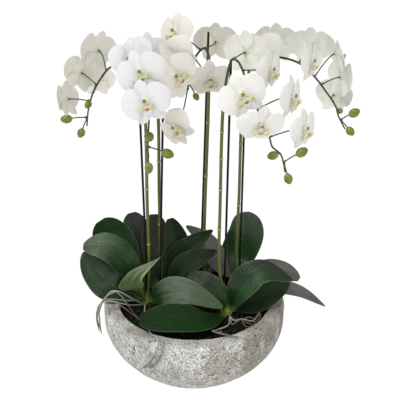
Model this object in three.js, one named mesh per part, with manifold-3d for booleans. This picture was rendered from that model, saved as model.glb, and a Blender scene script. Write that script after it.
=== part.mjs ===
// A potted moth orchid: five plants in one shallow stone bowl, each with a crown of strap
// leaves, a staked flower stem and an arching spray of white blooms with green buds.
// Millimetres, +Z up, origin at the centre of the bowl's flat foot, the front of the bowl at -Y.
import * as THREE from 'three';
import { mergeVertices } from 'three/addons/utils/BufferGeometryUtils.js';
import Module from 'manifold-3d';

const wasm = await Module();
wasm.setup();

// Driving dimensions.
const BOWL = { radius: 180, height: 157, foot: 60, wall: 32, floor: 18, sides: 32 };
const BELLY = { top: 0.75, power: 1.2 };
const RIM = { outer: 6, inner: 4, drop: 6 };
const SOIL = { level: 139, mound: 4, edge: 2, side: 2.2, sides: 20 };
const STAKE = { radius: 2.2, sides: 6, foot: 100 };
const STEM = { radius: 3.1, joint: 3.9, ring: 3, spray: 2.2, tip: 1.4, sides: 5 };
const CROWN = { foot: 118, shoulder: 148, top: 164, radius: 9 };
const STALK = { radius: 1.15, sides: 4, behind: 16 };
const BUD = { stretch: 1.15, sides: 5, rings: 4 };
const PETAL = { length: 40, half: 25.5, lift: 10 };
const SEPAL = { length: 35, half: 13, spread: 34 };
const HUB = { radius: 3.6, back: 4, claw: 1.7 };
const LIP = { length: 21.5, rise: 10, wing: 11, tongue: 4 };
const COLUMN = { length: 9.5, lean: 3, radius: 3.1, sides: 5 };
const LEAF = { thickness: 1.8, half: 33, root: 0.12 };
const ROOT = { radius: 1.5, sides: 4 };
const BLADE = 1;
const FIT = 0.35;

const FINISH = {
  bowl: [0xb4b0a6, 0.95],
  soil: [0x1d1a17, 1],
  stake: [0x17191c, 0.5],
  stem: [0x5d6f36, 0.55],
  leaf: [0x24401f, 0.35],
  root: [0x8d9584, 0.8],
  bloom: [0xf1f0ee, 0.6],
};

// The five plants: where the crown stands, the stem up to the spray, the arching spray itself,
// the heights of the stem's joints, the straight stake from the soil to its top, and the place,
// turn and size of each bud and bloom. The back plant's two low leaves are part of its crown.
const PLANTS = {
  left: {
    crown: [-95, 2],
    stem: [[-92, 10, 175], [-90, 14, 219], [-90, 15, 358], [-89, 18, 520], [-95, 22, 583]],
    spray: [
      [-104, 28, 604], [-120, 35, 613], [-151, 46, 606], [-169, 52, 587], [-188, 56, 556],
      [-199, 58, 523], [-204, 60, 492],
    ],
    joints: [265, 380, 470],
    stake: [[-95, 26, 0], [-99, 25, 515]],
    buds: [[-197, 50, 536, 7], [-239, 50, 508, 9], [-216, 62, 478, 8]],
    blooms: [
      [-178, 82, 630, -135, 10, 12, 1], [-212, 83, 588, -140, 0, 25, 0.94],
      [-236, 54, 545, -108, -10, 10, 0.92], [-192, 140, 564, 180, 0, 0, 0.85],
    ],
  },
  front: {
    crown: [-66, 33],
    stem: [[-67, 33, 175], [-68, 33, 351], [-66, 32, 520], [-69, 26, 596]],
    spray: [
      [-73, 14, 632], [-73, -10, 637], [-70, -34, 618], [-70, -54, 585], [-75, -66, 539],
      [-78, -74, 492], [-77, -76, 472],
    ],
    joints: [300, 430],
    stake: [[-76, 13, 0], [-57, 24, 519]],
    buds: [[-75, -80, 511, 9], [-45, -76, 480, 9], [-77, -80, 456, 8]],
    blooms: [
      [-104, 3, 631, -35, 10, 30, 0.98], [-106, -44, 634, -10, 5, 4, 0.9],
      [-85, -76, 618, -6, 5, 24, 1], [-76, -102, 575, -8, 5, 20, 1],
      [-84, 46, 634, 5, 0, 0, 0.88],
    ],
  },
  back: {
    crown: [16, 92],
    stem: [[18, 92, 175], [19, 92, 210], [22, 92, 328], [28, 90, 543], [28, 86, 612]],
    spray: [[25, 80, 628], [18, 70, 636], [4, 50, 625], [-7, 30, 600], [-10, 16, 570]],
    joints: [260, 380, 490],
    stake: [[8, 110, 0], [27, 106, 661]],
    buds: [[4, 10, 560, 6]],
    blooms: [
      [-33, 70, 664, -45, 15, 10, 0.98], [-31, -6, 632, -8, 0, 54, 0.93],
      [-29, -34, 604, 15, 5, 48, 1], [-30, -20, 512, -35, -15, 50, 0.95],
      [41, 126, 640, 180, 10, 0, 1], [29, 44, 585, 10, -18, 4, 0.96],
    ],
    leaves: [
      [[[12, 93.5, 147], [-26, 106, 166], [-56, 138, 176], [-82, 182, 160]],
        [0.2, -0.3, 0.9], [0, 0.2, 0.95], 0.85, 0.15, 1.8],
      [[[20, 96, 148], [35, 124, 166], [44, 162, 176], [50, 204, 156]],
        [-0.2, -0.3, 0.9], [0.1, 0.2, 0.95], 0.8, 0.15, 1.8],
    ],
  },
  right: {
    crown: [64, -42],
    stem: [[56, -28, 180], [49, -15, 230], [49, -14, 370], [52, -12, 541]],
    spray: [
      [58, -14, 600], [66, -20, 630], [76, -36, 629], [90, -56, 599], [106, -68, 559], [124, -74, 527],
      [130, -78, 506], [134, -82, 494], [148, -86, 482], [154, -86, 466], [157, -88, 450],
    ],
    joints: [200, 310, 390, 450, 500],
    stake: [[58, 0, 0], [65, -4, 628]],
    buds: [[136, -84, 479, 8], [184, -82, 484, 9], [163, -88, 439, 8]],
    blooms: [
      [91, 10, 638, 150, 0, 0, 1], [81, -88, 583, 8, 5, 27, 1],
      [110, -110, 540, 10, -25, -5, 0.96], [130, -26, 613, 55, 0, 0, 0.95],
      [167, -40, 570, 60, 0, 0, 1], [190, -50, 516, 50, 0, 0, 0.95],
    ],
  },
  far: {
    crown: [86, 78],
    stem: [[87, 80, 175], [87, 84, 220], [90, 84, 331], [92, 82, 512], [98, 78, 576]],
    spray: [
      [117, 72, 616], [153, 64, 621], [191, 56, 612], [219, 52, 590],
      [242, 50, 563], [265, 50, 531], [270, 50, 516], [285, 50, 489],
    ],
    joints: [320, 450],
    stake: [[95, 93, 0], [98, 96, 512]],
    buds: [[298, 44, 521, 9], [275, 60, 521, 6], [294, 46, 486, 8]],
    blooms: [
      [121, 46, 632, 0, -10, 30, 1], [152, 84, 644, 165, 10, 0, 1],
      [220, 106, 634, 160, 10, 0, 1], [205, 16, 620, 62, 0, 0, 0.95],
      [258, 56, 629, 100, 20, 0, 0.95], [274, 70, 583, 110, 0, 0, 1],
      [272, 108, 541, 140, 0, 0, 0.95],
    ],
  },
};

// The leaves: middle line from the crown to the tip, the way the upper face looks at the root and
// at the tip, the width against the usual one, how deeply the two halves fold together, and how
// blunt the tip is. Some have ways of their own: where they are widest, the share of each half,
// how drawn out the point is, and how much of the leaf is a narrow stalk.
const LEAVES = {
  left_1: [[[-102.5, 10, 153], [-145, 42, 224], [-168, 53, 262], [-190, 60, 296]],
    [0.3, -0.9, 0.3], [0.2, -0.9, 0.4], 1.22, 0.15, 2.4],
  left_2: [[[-106, 6, 160], [-137, 8, 231], [-174, 0, 267], [-216, -2, 268]],
    [0.3, -0.7, 0.6], [-0.1, -0.4, 0.9], 0.97, 0.15, 2],
  left_3: [[[-106, -1, 152], [-161, -14, 183], [-189, -8, 215], [-212, 6, 256]],
    [0.3, -0.7, 0.6], [0.4, -0.8, 0.3], 1, 0.2, 2.2],
  left_4: [[[-101, -8, 154], [-107, -18, 184], [-109, -15, 202], [-65, -6, 248]],
    [0, -1, 0.1], [-0.2, -0.9, 0.4], 0.62, 0.3, 1,
    { widest: 0.54, halves: [1.95, 0.6], point: 1.3, stalk: 6 }],
  left_5: [[[-89, -8, 152], [-61, -28, 178], [-16, -44, 192], [56, -60, 166]],
    [0, -0.8, 0.6], [0, -0.75, 0.65], 0.9, 0.15, 1.4, { point: 0.75 }],
  front_1: [[[-79, 37, 147], [-112, 99, 211], [-122, 108, 251], [-132, 114, 291]],
    [0.1, -0.95, 0.2], [0, -0.95, 0.2], 0.95, 0.1, 2.4],
  front_2: [[[-66, 44, 159], [-77, 64, 211], [-81, 80, 252], [-83, 94, 296]],
    [0, -0.95, 0.2], [0, -0.9, 0.3], 0.92, 0.1, 2.4],
  front_3: [[[-59.5, 42.5, 153], [-35, 46, 206], [-34, 58, 247], [-50, 72, 296]],
    [-0.4, -0.85, 0.2], [-0.2, -0.95, 0.2], 0.9, 0.25, 1.5, { stalk: 1.6 }],
  front_4: [[[-55, 34, 156], [-38, 35, 206], [-9, 37, 248], [37, 50, 280]],
    [-0.4, -0.8, 0.4], [-0.2, -0.8, 0.5], 0.84, 0.3, 1.3, { point: 0.8 }],
  front_5: [[[-57.5, 26, 152], [-28, 8, 212], [5, 8, 236], [45, 10, 253]],
    [-0.4, -0.8, 0.4], [-0.2, -0.8, 0.5], 0.72, 0.3, 1.3, { point: 0.75 }],
  right_1: [[[61, -54, 146], [22, -99, 163], [-33, -114, 176], [-100, -126, 178]],
    [0, -0.35, 0.9], [0, -0.35, 0.9], 0.98, 0.15, 2.2, { widest: 0.62, stalk: 1.3 }],
  right_2: [[[72, -50.5, 154], [87, -62, 208], [126, -60, 244], [189, -46, 218]],
    [-0.4, -0.7, 0.5], [-0.1, -0.6, 0.8], 0.88, 0.35, 1.3, { point: 0.8 }],
  right_3: [[[75.5, -44, 151], [112, -44, 166], [150, -28, 181], [186, -8, 196]],
    [0, -0.5, 0.8], [0.2, -0.6, 0.8], 0.75, 0.2, 1.6],
  right_4: [[[53, -45.5, 152], [47, -44, 178], [26, -30, 200], [-12, -12, 211]],
    [-0.2, -0.85, 0.4], [0, -0.8, 0.6], 0.75, 0.15, 1.6],
  far_1: [[[78, 88.5, 150], [89, 127, 176], [110, 133, 236], [104, 136, 283]],
    [0, -0.95, 0.2], [0, -0.9, 0.3], 1.2, 0.1, 2.6],
  far_2: [[[96.5, 83, 153], [141, 79, 176], [183, 64, 182], [217, 49, 168]],
    [0, -0.4, 0.9], [0.2, -0.4, 0.9], 0.75, 0.15, 2],
  far_3: [[[94, 70, 152], [156, 32, 164], [216, 18, 156], [266, 8, 129]],
    [0, -0.3, 0.9], [0.3, -0.3, 0.9], 0.62, 0.15, 1.3, { point: 0.8 }],
  far_4: [[[77, 84, 154], [52, 93, 182], [28, 135, 213], [-19, 150, 245]],
    [0.3, -0.6, 0.7], [0.2, -0.7, 0.7], 0.72, 0.15, 1.4, { point: 0.7 }],
};

// The roots that wander over the rim, each bunch held together at its crown.
const ROOTS = {
  left: [
    [[-99, -11, 144], [-116, -32, 166], [-130, -46, 185], [-144, -52, 197], [-158, -52, 197],
      [-173, -50, 178], [-186, -46, 160], [-191, -44, 134], [-188, -42, 101]],
    [[-99, -11, 144], [-128, -46, 164], [-158, -56, 178], [-173, -56, 176], [-183, -54, 160],
      [-184, -51, 132], [-184, -49, 110], [-182, -48, 99]],
    [[-99, -11, 144], [-96, -50, 146], [-85, -110, 156], [-76, -148, 164], [-66, -165, 169],
      [-62, -173, 156], [-71, -169, 131], [-82, -164, 110], [-96, -154, 95]],
  ],
  right: [
    [[69, -55, 144], [76, -74, 147], [92, -88, 158], [110, -94, 158], [124, -78, 166],
      [124, -82, 158], [114, -88, 149]],
    [[69, -55, 144], [64, -90, 146], [42, -112, 150], [34, -128, 158], [52, -143, 161],
      [82, -151, 160]],
  ],
};

const orchid = new THREE.Group();
const vec = (p) => new THREE.Vector3(...p);
const { clamp, lerp, smoothstep, degToRad } = THREE.MathUtils;

// Turns a closed geometry into a solid that can be joined or cut, and back.
function toSolid(geometry) {
  const bare = new THREE.BufferGeometry();
  bare.setAttribute('position', geometry.attributes.position.clone());
  if (geometry.index) bare.setIndex(geometry.index.clone());
  const merged = mergeVertices(bare, 1e-4);
  return new wasm.Manifold(new wasm.Mesh({
    numProp: 3,
    vertProperties: new Float32Array(merged.attributes.position.array),
    triVerts: new Uint32Array(merged.index.array),
  }));
}

function fromSolid(solid) {
  const mesh = solid.getMesh();
  return closedGeometry(mesh.vertProperties.slice(), Array.from(mesh.triVerts));
}

function closedGeometry(positions, index) {
  const geometry = new THREE.BufferGeometry();
  geometry.setAttribute('position', new THREE.Float32BufferAttribute(positions, 3));
  geometry.setIndex(index);
  geometry.computeVertexNormals();
  return geometry;
}

const join = (geometries) => geometries.map(toSolid).reduce((whole, solid) => whole.add(solid));

function addMesh(name, geometry, finish) {
  const [color, roughness] = FINISH[finish];
  const material = new THREE.MeshStandardMaterial({ color, roughness, metalness: 0 });
  const mesh = new THREE.Mesh(geometry, material);
  mesh.name = name;
  orchid.add(mesh);
  return mesh;
}

// Gives a sheet its thickness. points and normals describe its middle, triangles its front, and
// loop runs round its edge; the back is split into the same triangles as the front.
function thicken(points, normals, triangles, loop, thickness) {
  const positions = [];
  for (const side of [0.5, -0.5]) {
    points.forEach((point, k) => {
      const shifted = point.clone().addScaledVector(normals[k], side * thickness);
      positions.push(...shifted.toArray());
    });
  }
  const back = points.length;
  const index = triangles.flatMap(([a, b, c]) => [a, b, c, a + back, c + back, b + back]);
  loop.forEach((a, k) => {
    const b = loop[(k + 1) % loop.length];
    index.push(a, a + back, b + back, a, b + back, b);
  });
  return closedGeometry(positions, index);
}

// The points of a sheet on a grid: sheet(u, v) with u from root to tip, v from -1 to 1 across.
function grid(sheet, rows, columns) {
  const step = 1e-3;
  const points = [];
  const normals = [];
  for (const u of rows) {
    for (const v of columns) {
      const along = sheet(u + step, v).sub(sheet(u - step, v));
      const over = sheet(u, v + step).sub(sheet(u, v - step));
      points.push(sheet(u, v));
      normals.push(along.cross(over).normalize());
    }
  }
  return { points, normals };
}

// Its triangles, mirrored about the midrib, and the edge from root to tip and back.
function weave(rows, columns, start) {
  const at = (i, j) => start + i * columns + j;
  const triangles = [];
  for (let i = 0; i < rows - 1; i += 1) {
    for (let j = 0; j < columns - 1; j += 1) {
      const [a, b, c, d] = [at(i, j), at(i + 1, j), at(i + 1, j + 1), at(i, j + 1)];
      if (2 * j + 1 < columns - 1) triangles.push([a, b, d], [b, c, d]);
      else triangles.push([a, b, c], [a, c, d]);
    }
  }
  const out = Array.from({ length: rows }, (unused, i) => at(i, 0));
  const tip = Array.from({ length: columns - 2 }, (unused, j) => at(rows - 1, j + 1));
  const home = Array.from({ length: rows }, (unused, i) => at(rows - 1 - i, columns - 1));
  return { triangles, edge: [...out, ...tip, ...home] };
}

// One closed blade with its root row left as a straight edge.
function blade(sheet, rows, columns, thickness) {
  const { points, normals } = grid(sheet, rows, columns);
  const { triangles, edge } = weave(rows.length, columns.length, 0);
  const root = Array.from({ length: columns.length - 2 }, (unused, j) => columns.length - 2 - j);
  return thicken(points, normals, triangles, [...edge, ...root], thickness);
}

// Several blades that grow in one piece from a small flat hub: each side of the hub is the root
// of one blade, and neighbours share its corner.
function whorl(lobes, hubRadius, thickness) {
  const front = new THREE.Vector3(0, 0, 1);
  const points = [new THREE.Vector3()];
  const triangles = [];
  const loop = [];
  const corner = (k) => 1 + (k % lobes.length);
  lobes.forEach(({ angle }, k) => {
    const before = lobes[(k + lobes.length - 1) % lobes.length].angle;
    const between = degToRad((before > angle ? before - 360 + angle : before + angle) / 2);
    points.push(vec([hubRadius * Math.cos(between), hubRadius * Math.sin(between), 0]));
    triangles.push([0, corner(k), corner(k + 1)]);
  });
  const normals = points.map(() => front);
  lobes.forEach(({ sheet, rows, columns }, k) => {
    const start = points.length;
    const lobe = grid(sheet, rows, columns);
    points.push(...lobe.points);
    normals.push(...lobe.normals);
    const { triangles: woven, edge } = weave(rows.length, columns.length, start);
    const [near, far] = [corner(k), corner(k + 1)];
    triangles.push(...woven, [near, start, start + 1], [near, start + 1, far]);
    triangles.push([far, start + 1, start + 2]);
    loop.push(near, ...edge);
  });
  return thicken(points, normals, triangles, loop, thickness);
}

const smooth = (points) => new THREE.CatmullRomCurve3(points.map(vec), false, 'centripetal');

// A round tube of one thickness along a curve.
function tube(extrudePath, radius, sides, steps) {
  const corners = Array.from({ length: sides }, (unused, k) => {
    const turn = (k / sides) * 2 * Math.PI;
    return new THREE.Vector2(radius * Math.cos(turn), radius * Math.sin(turn));
  });
  return new THREE.ExtrudeGeometry(new THREE.Shape(corners), { steps, extrudePath });
}

// A round stalk along a curve, whose rows give how far along each ring stands and its radius.
function stalk(curve, rows, sides) {
  const count = 200;
  const frames = curve.computeFrenetFrames(count);
  const positions = [];
  const index = [];
  for (const [t, radius] of rows) {
    const centre = curve.getPointAt(t);
    const k = Math.round(t * count);
    for (let side = 0; side < sides; side += 1) {
      const turn = (side / sides) * 2 * Math.PI;
      const point = centre.clone()
        .addScaledVector(frames.normals[k], radius * Math.cos(turn))
        .addScaledVector(frames.binormals[k], radius * Math.sin(turn));
      positions.push(...point.toArray());
    }
  }
  const last = (rows.length - 1) * sides;
  for (let i = 0; i < last; i += sides) {
    for (let side = 0; side < sides; side += 1) {
      const next = (side + 1) % sides;
      index.push(i + side, i + next, i + sides + next);
      index.push(i + side, i + sides + next, i + sides + side);
    }
  }
  for (let side = 1; side < sides - 1; side += 1) {
    index.push(0, side + 1, side);
    index.push(last, last + side, last + side + 1);
  }
  return closedGeometry(positions, index);
}

// A straight rod between two points, tapered from one radius to the other.
function rod(from, to, fromRadius, toRadius, sides) {
  const axis = to.clone().sub(from);
  const geometry = new THREE.CylinderGeometry(toRadius, fromRadius, axis.length(), sides, 1);
  const up = new THREE.Vector3(0, 1, 0);
  geometry.applyQuaternion(new THREE.Quaternion().setFromUnitVectors(up, axis.normalize()));
  const middle = from.clone().lerp(to, 0.5);
  return geometry.translate(...middle.toArray());
}

// One bowed side of the bowl, from the edge of its floor to where the wall stands straight.
function belly(radius, foot, bottom, steps) {
  const top = BOWL.height * BELLY.top;
  return Array.from({ length: steps + 1 }, (unused, k) => {
    const turn = ((k / steps) * Math.PI) / 2;
    return [
      foot + (radius - foot) * Math.sin(turn) ** BELLY.power,
      top - (top - bottom) * Math.cos(turn) ** BELLY.power,
    ];
  });
}

function lathe(profile, sides) {
  const points = profile.map(([x, y]) => new THREE.Vector2(x, y));
  return new THREE.LatheGeometry(points, sides).rotateX(Math.PI / 2);
}

function bowl() {
  const { radius, height, foot, wall, floor, sides } = BOWL;
  const outer = belly(radius, foot, 0, 6);
  const inner = belly(radius - wall, foot - wall, floor, 3);
  const rim = [
    [radius, height - RIM.drop], [radius - RIM.outer, height],
    [radius - wall + RIM.inner, height], [radius - wall, height - RIM.drop],
  ];
  return lathe([[0, 0], ...outer, ...rim, ...inner.reverse(), [0, floor]], sides);
}

// The soil fills the bowl to its level, with a low mound, and has a plain hole for every crown
// and stake.
function soil() {
  const { level, mound, edge, side, sides } = SOIL;
  const { radius, foot, wall, floor } = BOWL;
  const reach = radius - wall - side;
  const flank = belly(reach, foot - wall - side, floor + FIT, 3);
  const top = [
    [reach, level - edge], [reach * 0.75, level + mound * 0.5], [0, level + mound],
  ];
  let body = toSolid(lathe([[0, floor + FIT], ...flank, ...top], sides));
  const corners = 6;
  const wide = (CROWN.radius + FIT) / Math.cos(Math.PI / corners);
  for (const plant of Object.values(PLANTS)) {
    const [x, y] = plant.crown;
    const bottom = new THREE.Vector3(x, y, CROWN.foot - FIT);
    const head = new THREE.Vector3(x, y, CROWN.top);
    body = body.subtract(toSolid(rod(bottom, head, wide, wide, corners)));
    body = body.subtract(toSolid(stakeRod(plant, FIT)));
  }
  return body;
}

// The stake runs straight from its foot in the soil to its top.
function stakeRod({ stake: [low, high] }, clear = 0) {
  const top = vec(high);
  const slope = top.clone().sub(vec(low)).divideScalar(high[2] - low[2]);
  const foot = vec(low).addScaledVector(slope, STAKE.foot - clear - low[2]);
  return rod(foot, top, STAKE.radius + clear, STAKE.radius + clear, STAKE.sides);
}

// Where a bloom stands and how it is turned: it looks along its own Z, with its top sepal
// along Y. side is how far it looks round from the front and rise how far it looks up.
function bloomMatrix([x, y, z, side, rise, roll, size]) {
  const [s, r] = [degToRad(side), degToRad(rise)];
  const look = new THREE.Vector3(
    Math.sin(s) * Math.cos(r), -Math.cos(s) * Math.cos(r), Math.sin(r),
  );
  const right = new THREE.Vector3(0, 0, 1).cross(look).normalize();
  const matrix = new THREE.Matrix4().makeBasis(right, look.clone().cross(right), look);
  matrix.multiply(new THREE.Matrix4().makeRotationZ(degToRad(roll)));
  matrix.scale(new THREE.Vector3(size, size, size));
  return matrix.setPosition(x, y, z);
}

// The sheet of one petal or sepal: it leaves the hub at the angle given by a narrow claw,
// swells to its half width, arches and falls back at the tip.
function tepal(degrees, { length, half }, shape) {
  const [cos, sin] = [Math.cos(degToRad(degrees)), Math.sin(degToRad(degrees))];
  return (u, v) => {
    const swell = Math.sin(Math.PI * clamp(u, 0.001, 0.999) ** shape.fullness) ** shape.blunt;
    const wide = lerp(HUB.claw, half * swell, smoothstep(u, ...shape.neck));
    const x = HUB.radius + length * u;
    const y = wide * v;
    const z = shape.lift * smoothstep(u, 0, 0.25) + shape.arch * Math.sin(Math.PI * u)
      - shape.fall * u * u + shape.cup * v * v * swell;
    return new THREE.Vector3(x * cos - y * sin, x * sin + y * cos, z);
  };
}

const WIDE = {
  fullness: 0.95, blunt: 0.58, neck: [-0.05, 0.4], lift: 2.6, arch: 4, fall: 5, cup: -2,
};
const SLIM = {
  fullness: 0.9, blunt: 0.6, neck: [0.05, 0.5], lift: -1.5, arch: 1.5, fall: 2.5, cup: 1.2,
};
const PETAL_ROWS = [0.17, 0.47, 0.77, 0.98];
const SEPAL_ROWS = [0.2, 0.6, 0.98];

// The lip: a sheet that hangs from the column's foot, rising forward, with a round wing to each
// side of its middle and a pointed tongue below them.
function lip() {
  const { length, rise, wing, tongue } = LIP;
  const sheet = (u, v) => {
    const wings = wing * Math.exp(-(((u - 0.43) / 0.17) ** 2));
    const wide = 1.5 + wings + tongue * Math.max(0, Math.sin(2 * Math.PI * (u - 0.5)));
    return new THREE.Vector3(
      v * wide,
      -1.5 - length * u + v * v * wings * 0.2,
      1.5 + rise * Math.sin(2.5 * u) + v * v * wings * 0.5,
    );
  };
  return blade((u, v) => sheet(u, -v), [0, 0.3, 0.45, 0.65, 1], [-1, 0, 1], BLADE);
}

// A whole bloom: three slim sepals behind, two broad petals before them, the lip, the column.
function bloom() {
  const lobe = (angle, size, shape, rows) => (
    { angle, sheet: tepal(angle, size, shape), rows, columns: [-1, 0, 1] }
  );
  const perianth = whorl([
    lobe(PETAL.lift, PETAL, WIDE, PETAL_ROWS),
    lobe(90, SEPAL, SLIM, SEPAL_ROWS),
    lobe(180 - PETAL.lift, PETAL, WIDE, PETAL_ROWS),
    lobe(270 - SEPAL.spread, SEPAL, SLIM, SEPAL_ROWS),
    lobe(270 + SEPAL.spread, SEPAL, SLIM, SEPAL_ROWS),
  ], HUB.radius, BLADE);
  const { length, lean, radius, sides } = COLUMN;
  const heart = rod(vec([0, 0, -HUB.back]), vec([0, lean, length]), radius, radius * 0.9, sides);
  return join([perianth, heart, lip()]);
}

// A bud: a round body drawn out a little along its stalk.
function bud(place, towards, size) {
  const geometry = new THREE.SphereGeometry(size, BUD.sides, BUD.rings);
  geometry.scale(1, BUD.stretch, 1);
  const up = new THREE.Vector3(0, 1, 0);
  geometry.applyQuaternion(new THREE.Quaternion().setFromUnitVectors(up, towards));
  return geometry.translate(...place.toArray());
}

// The green part of a plant in one piece: the crown in the soil, the jointed stem, the arching
// spray, a stalk to the back of every bloom and the buds on theirs.
function flowerStem({ crown: [x, y], stem, spray, joints, buds, blooms, leaves = [] }) {
  const axis = smooth([[x, y, CROWN.foot], [x, y, CROWN.shoulder], ...stem, ...spray]);
  const count = 400;
  const points = axis.getSpacedPoints(count);
  const where = (height) => points.findIndex((p) => p.z >= height) / count;
  const sprayStart = where(spray[0][2]);
  const rows = [
    [0, CROWN.radius], [where(CROWN.shoulder), CROWN.radius], [where(CROWN.top), STEM.radius],
  ];
  for (const height of joints) {
    rows.push([where(height - STEM.ring), STEM.radius], [where(height), STEM.joint]);
    rows.push([where(height + STEM.ring), STEM.radius]);
  }
  for (const [, , height] of stem.slice(1)) rows.push([where(height), STEM.radius]);
  rows.sort((a, b) => a[0] - b[0]);
  const steps = spray.length + 4;
  for (let k = 1; k <= steps; k += 1) {
    const share = k / steps;
    rows.push([lerp(sprayStart, 1, share), lerp(STEM.spray, STEM.tip, share)]);
  }
  const parts = [stalk(axis, rows, STEM.sides)];
  const rings = rows.slice(-steps).map(([t]) => axis.getPointAt(t));
  const nearest = (target) => rings.slice(0, -1).reduce((best, p) => (
    p.distanceTo(target) < best.distanceTo(target) ? p : best
  ));
  const addStalk = (from, by, to) => {
    const curve = new THREE.QuadraticBezierCurve3(from, by, to);
    const { radius } = STALK;
    parts.push(stalk(curve, [[0, radius], [0.5, radius], [1, radius]], STALK.sides));
  };
  for (const place of blooms) {
    const matrix = bloomMatrix(place);
    const back = vec([0, 0, -HUB.back - FIT]).applyMatrix4(matrix);
    const behind = vec([0, 0, -STALK.behind]).applyMatrix4(matrix);
    addStalk(nearest(behind), behind, back);
  }
  for (const [bx, by, bz, size] of buds) {
    const centre = vec([bx, by, bz]);
    const root = nearest(centre);
    addStalk(root, root.clone().lerp(centre, 0.5).add(vec([0, 0, 3])), centre);
    parts.push(bud(centre, centre.clone().sub(root).normalize(), size));
  }
  parts.push(...leaves.map(leaf));
  return join(parts);
}

// A strap leaf: its middle line is a smooth curve, it is narrow at the crown, broad and round
// further out, and its two halves rise from the midrib.
function leaf([points, rootFace, tipFace, breadth, fold, blunt, own = {}]) {
  const { widest = 0.5, halves = [1, 1], point = 0.5, stalk: narrow = 1 } = own;
  const line = smooth(points);
  const sheet = (u, v) => {
    const t = clamp(u, 0, 1);
    const along = line.getTangent(t);
    const over = along.clone().cross(vec(rootFace).lerp(vec(tipFace), t)).normalize();
    const face = over.clone().cross(along);
    const past = Math.max(t - widest, 0) / (1.01 - widest);
    const round = Math.max(1 - past ** blunt, 0) ** point;
    const open = Math.sin((Math.PI / 2) * Math.min(t / widest, 1)) ** narrow;
    const swell = lerp(LEAF.root, 1, open);
    const wide = LEAF.half * breadth * round * swell;
    const rise = wide * fold * Math.abs(v) * (1 - 0.6 * t);
    const reach = -v * wide * halves[v > 0 ? 0 : 1];
    return line.getPoint(t).addScaledVector(over, reach).addScaledVector(face, rise);
  };
  const rows = [0.002, 0.14, 0.3, 0.48, 0.66, 0.82, 0.93, 0.995];
  return blade(sheet, rows, [-1, 0, 1], LEAF.thickness);
}

const rootBunch = (strands) => join(strands.map((points) => (
  tube(smooth(points), ROOT.radius, ROOT.sides, Math.round(points.length * 1.5))
)));

addMesh('bowl', bowl(), 'bowl');
addMesh('soil', fromSolid(soil()), 'soil');
const bloomShape = fromSolid(bloom());
for (const [name, plant] of Object.entries(PLANTS)) {
  addMesh(`stake_${name}`, stakeRod(plant), 'stake');
  addMesh(`flower_stem_${name}`, fromSolid(flowerStem(plant)), 'stem');
  plant.blooms.forEach((place, k) => {
    const mesh = addMesh(`bloom_${name}_${k + 1}`, bloomShape, 'bloom');
    bloomMatrix(place).decompose(mesh.position, mesh.quaternion, mesh.scale);
  });
}
for (const [name, shape] of Object.entries(LEAVES)) {
  addMesh(`leaf_${name}`, leaf(shape), 'leaf');
}
for (const [name, strands] of Object.entries(ROOTS)) {
  addMesh(`roots_${name}`, fromSolid(rootBunch(strands)), 'root');
}

export default orchid;
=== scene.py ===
import math

import bpy
import numpy as np
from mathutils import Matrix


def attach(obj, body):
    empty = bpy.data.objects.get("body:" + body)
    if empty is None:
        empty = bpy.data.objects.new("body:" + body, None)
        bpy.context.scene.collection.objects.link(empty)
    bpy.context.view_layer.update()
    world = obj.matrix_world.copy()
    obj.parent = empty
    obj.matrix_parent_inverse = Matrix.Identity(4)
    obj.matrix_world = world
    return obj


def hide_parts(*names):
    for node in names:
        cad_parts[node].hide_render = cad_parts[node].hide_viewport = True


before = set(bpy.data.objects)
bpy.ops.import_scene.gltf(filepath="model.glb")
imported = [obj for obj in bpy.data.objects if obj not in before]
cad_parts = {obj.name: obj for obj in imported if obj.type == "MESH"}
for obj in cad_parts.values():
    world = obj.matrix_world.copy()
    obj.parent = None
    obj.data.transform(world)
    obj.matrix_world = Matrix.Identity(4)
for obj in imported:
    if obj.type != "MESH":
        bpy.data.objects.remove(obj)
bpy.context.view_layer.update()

# The bowl: one round shallow vessel of cast stone on a flat foot, its outside left rough from the
# mould, streaked by lime and stained brown, with a flat rim that is a little worn.
BOWL = {"radius": 180, "height": 157, "foot": 60, "wall": 32, "floor": 18, "sides": 420}
BELLY = {"top": 0.75, "power": 1.2}
RIM = {"outer": 6, "inner": 4, "drop": 6, "worn": 8}
STONE = {
    "body": (190, 190, 186), "lime": (246, 246, 245), "stain": (140, 129, 107),
    "pit": (96, 92, 82), "rim": (176, 173, 165),
}
MM = 0.001


def linear(colour):
    """The linear values of a display colour given in 0 to 255: c / 12.92 in the deep shadows,
    and ((c + 0.055) / 1.055) to the power 2.4 above them."""
    c = np.asarray(colour, float) / 255
    return np.where(c <= 0.04045, c / 12.92, ((c + 0.055) / 1.055) ** 2.4)


def noise(points, spacing, seed):
    """Smooth random values from -1 to 1: a random number at each corner of a cubic lattice of
    that spacing, blended across a cell by the curve 3t^2 - 2t^3 along each axis."""
    cell = points / spacing
    low = np.floor(cell).astype(np.int64)
    share = cell - low
    share = share * share * (3 - 2 * share)
    total = np.zeros(points.shape[:-1])
    for corner in np.ndindex(2, 2, 2):
        x, y, z = np.moveaxis(low + corner, -1, 0)
        mixed = (x * 73856093) ^ (y * 19349663) ^ (z * 83492791) ^ (seed * 40503 + 977)
        mixed = ((mixed ^ (mixed >> 13)) * 1274126177) & 0x7FFFFFFF
        value = ((mixed ^ (mixed >> 15)) & 0xFFFF) / 32767.5 - 1
        total += value * np.prod(np.where(corner, share, 1 - share), axis=-1)
    return total


def unit(vectors):
    """Each vector divided by its own length."""
    return vectors / np.maximum(np.linalg.norm(vectors, axis=-1, keepdims=True), 1e-9)


def smoothstep(x, low, high):
    """3t^2 - 2t^3, where t runs from 0 at low to 1 at high."""
    t = np.clip((x - low) / (high - low), 0, 1)
    return t * t * (3 - 2 * t)


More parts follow.
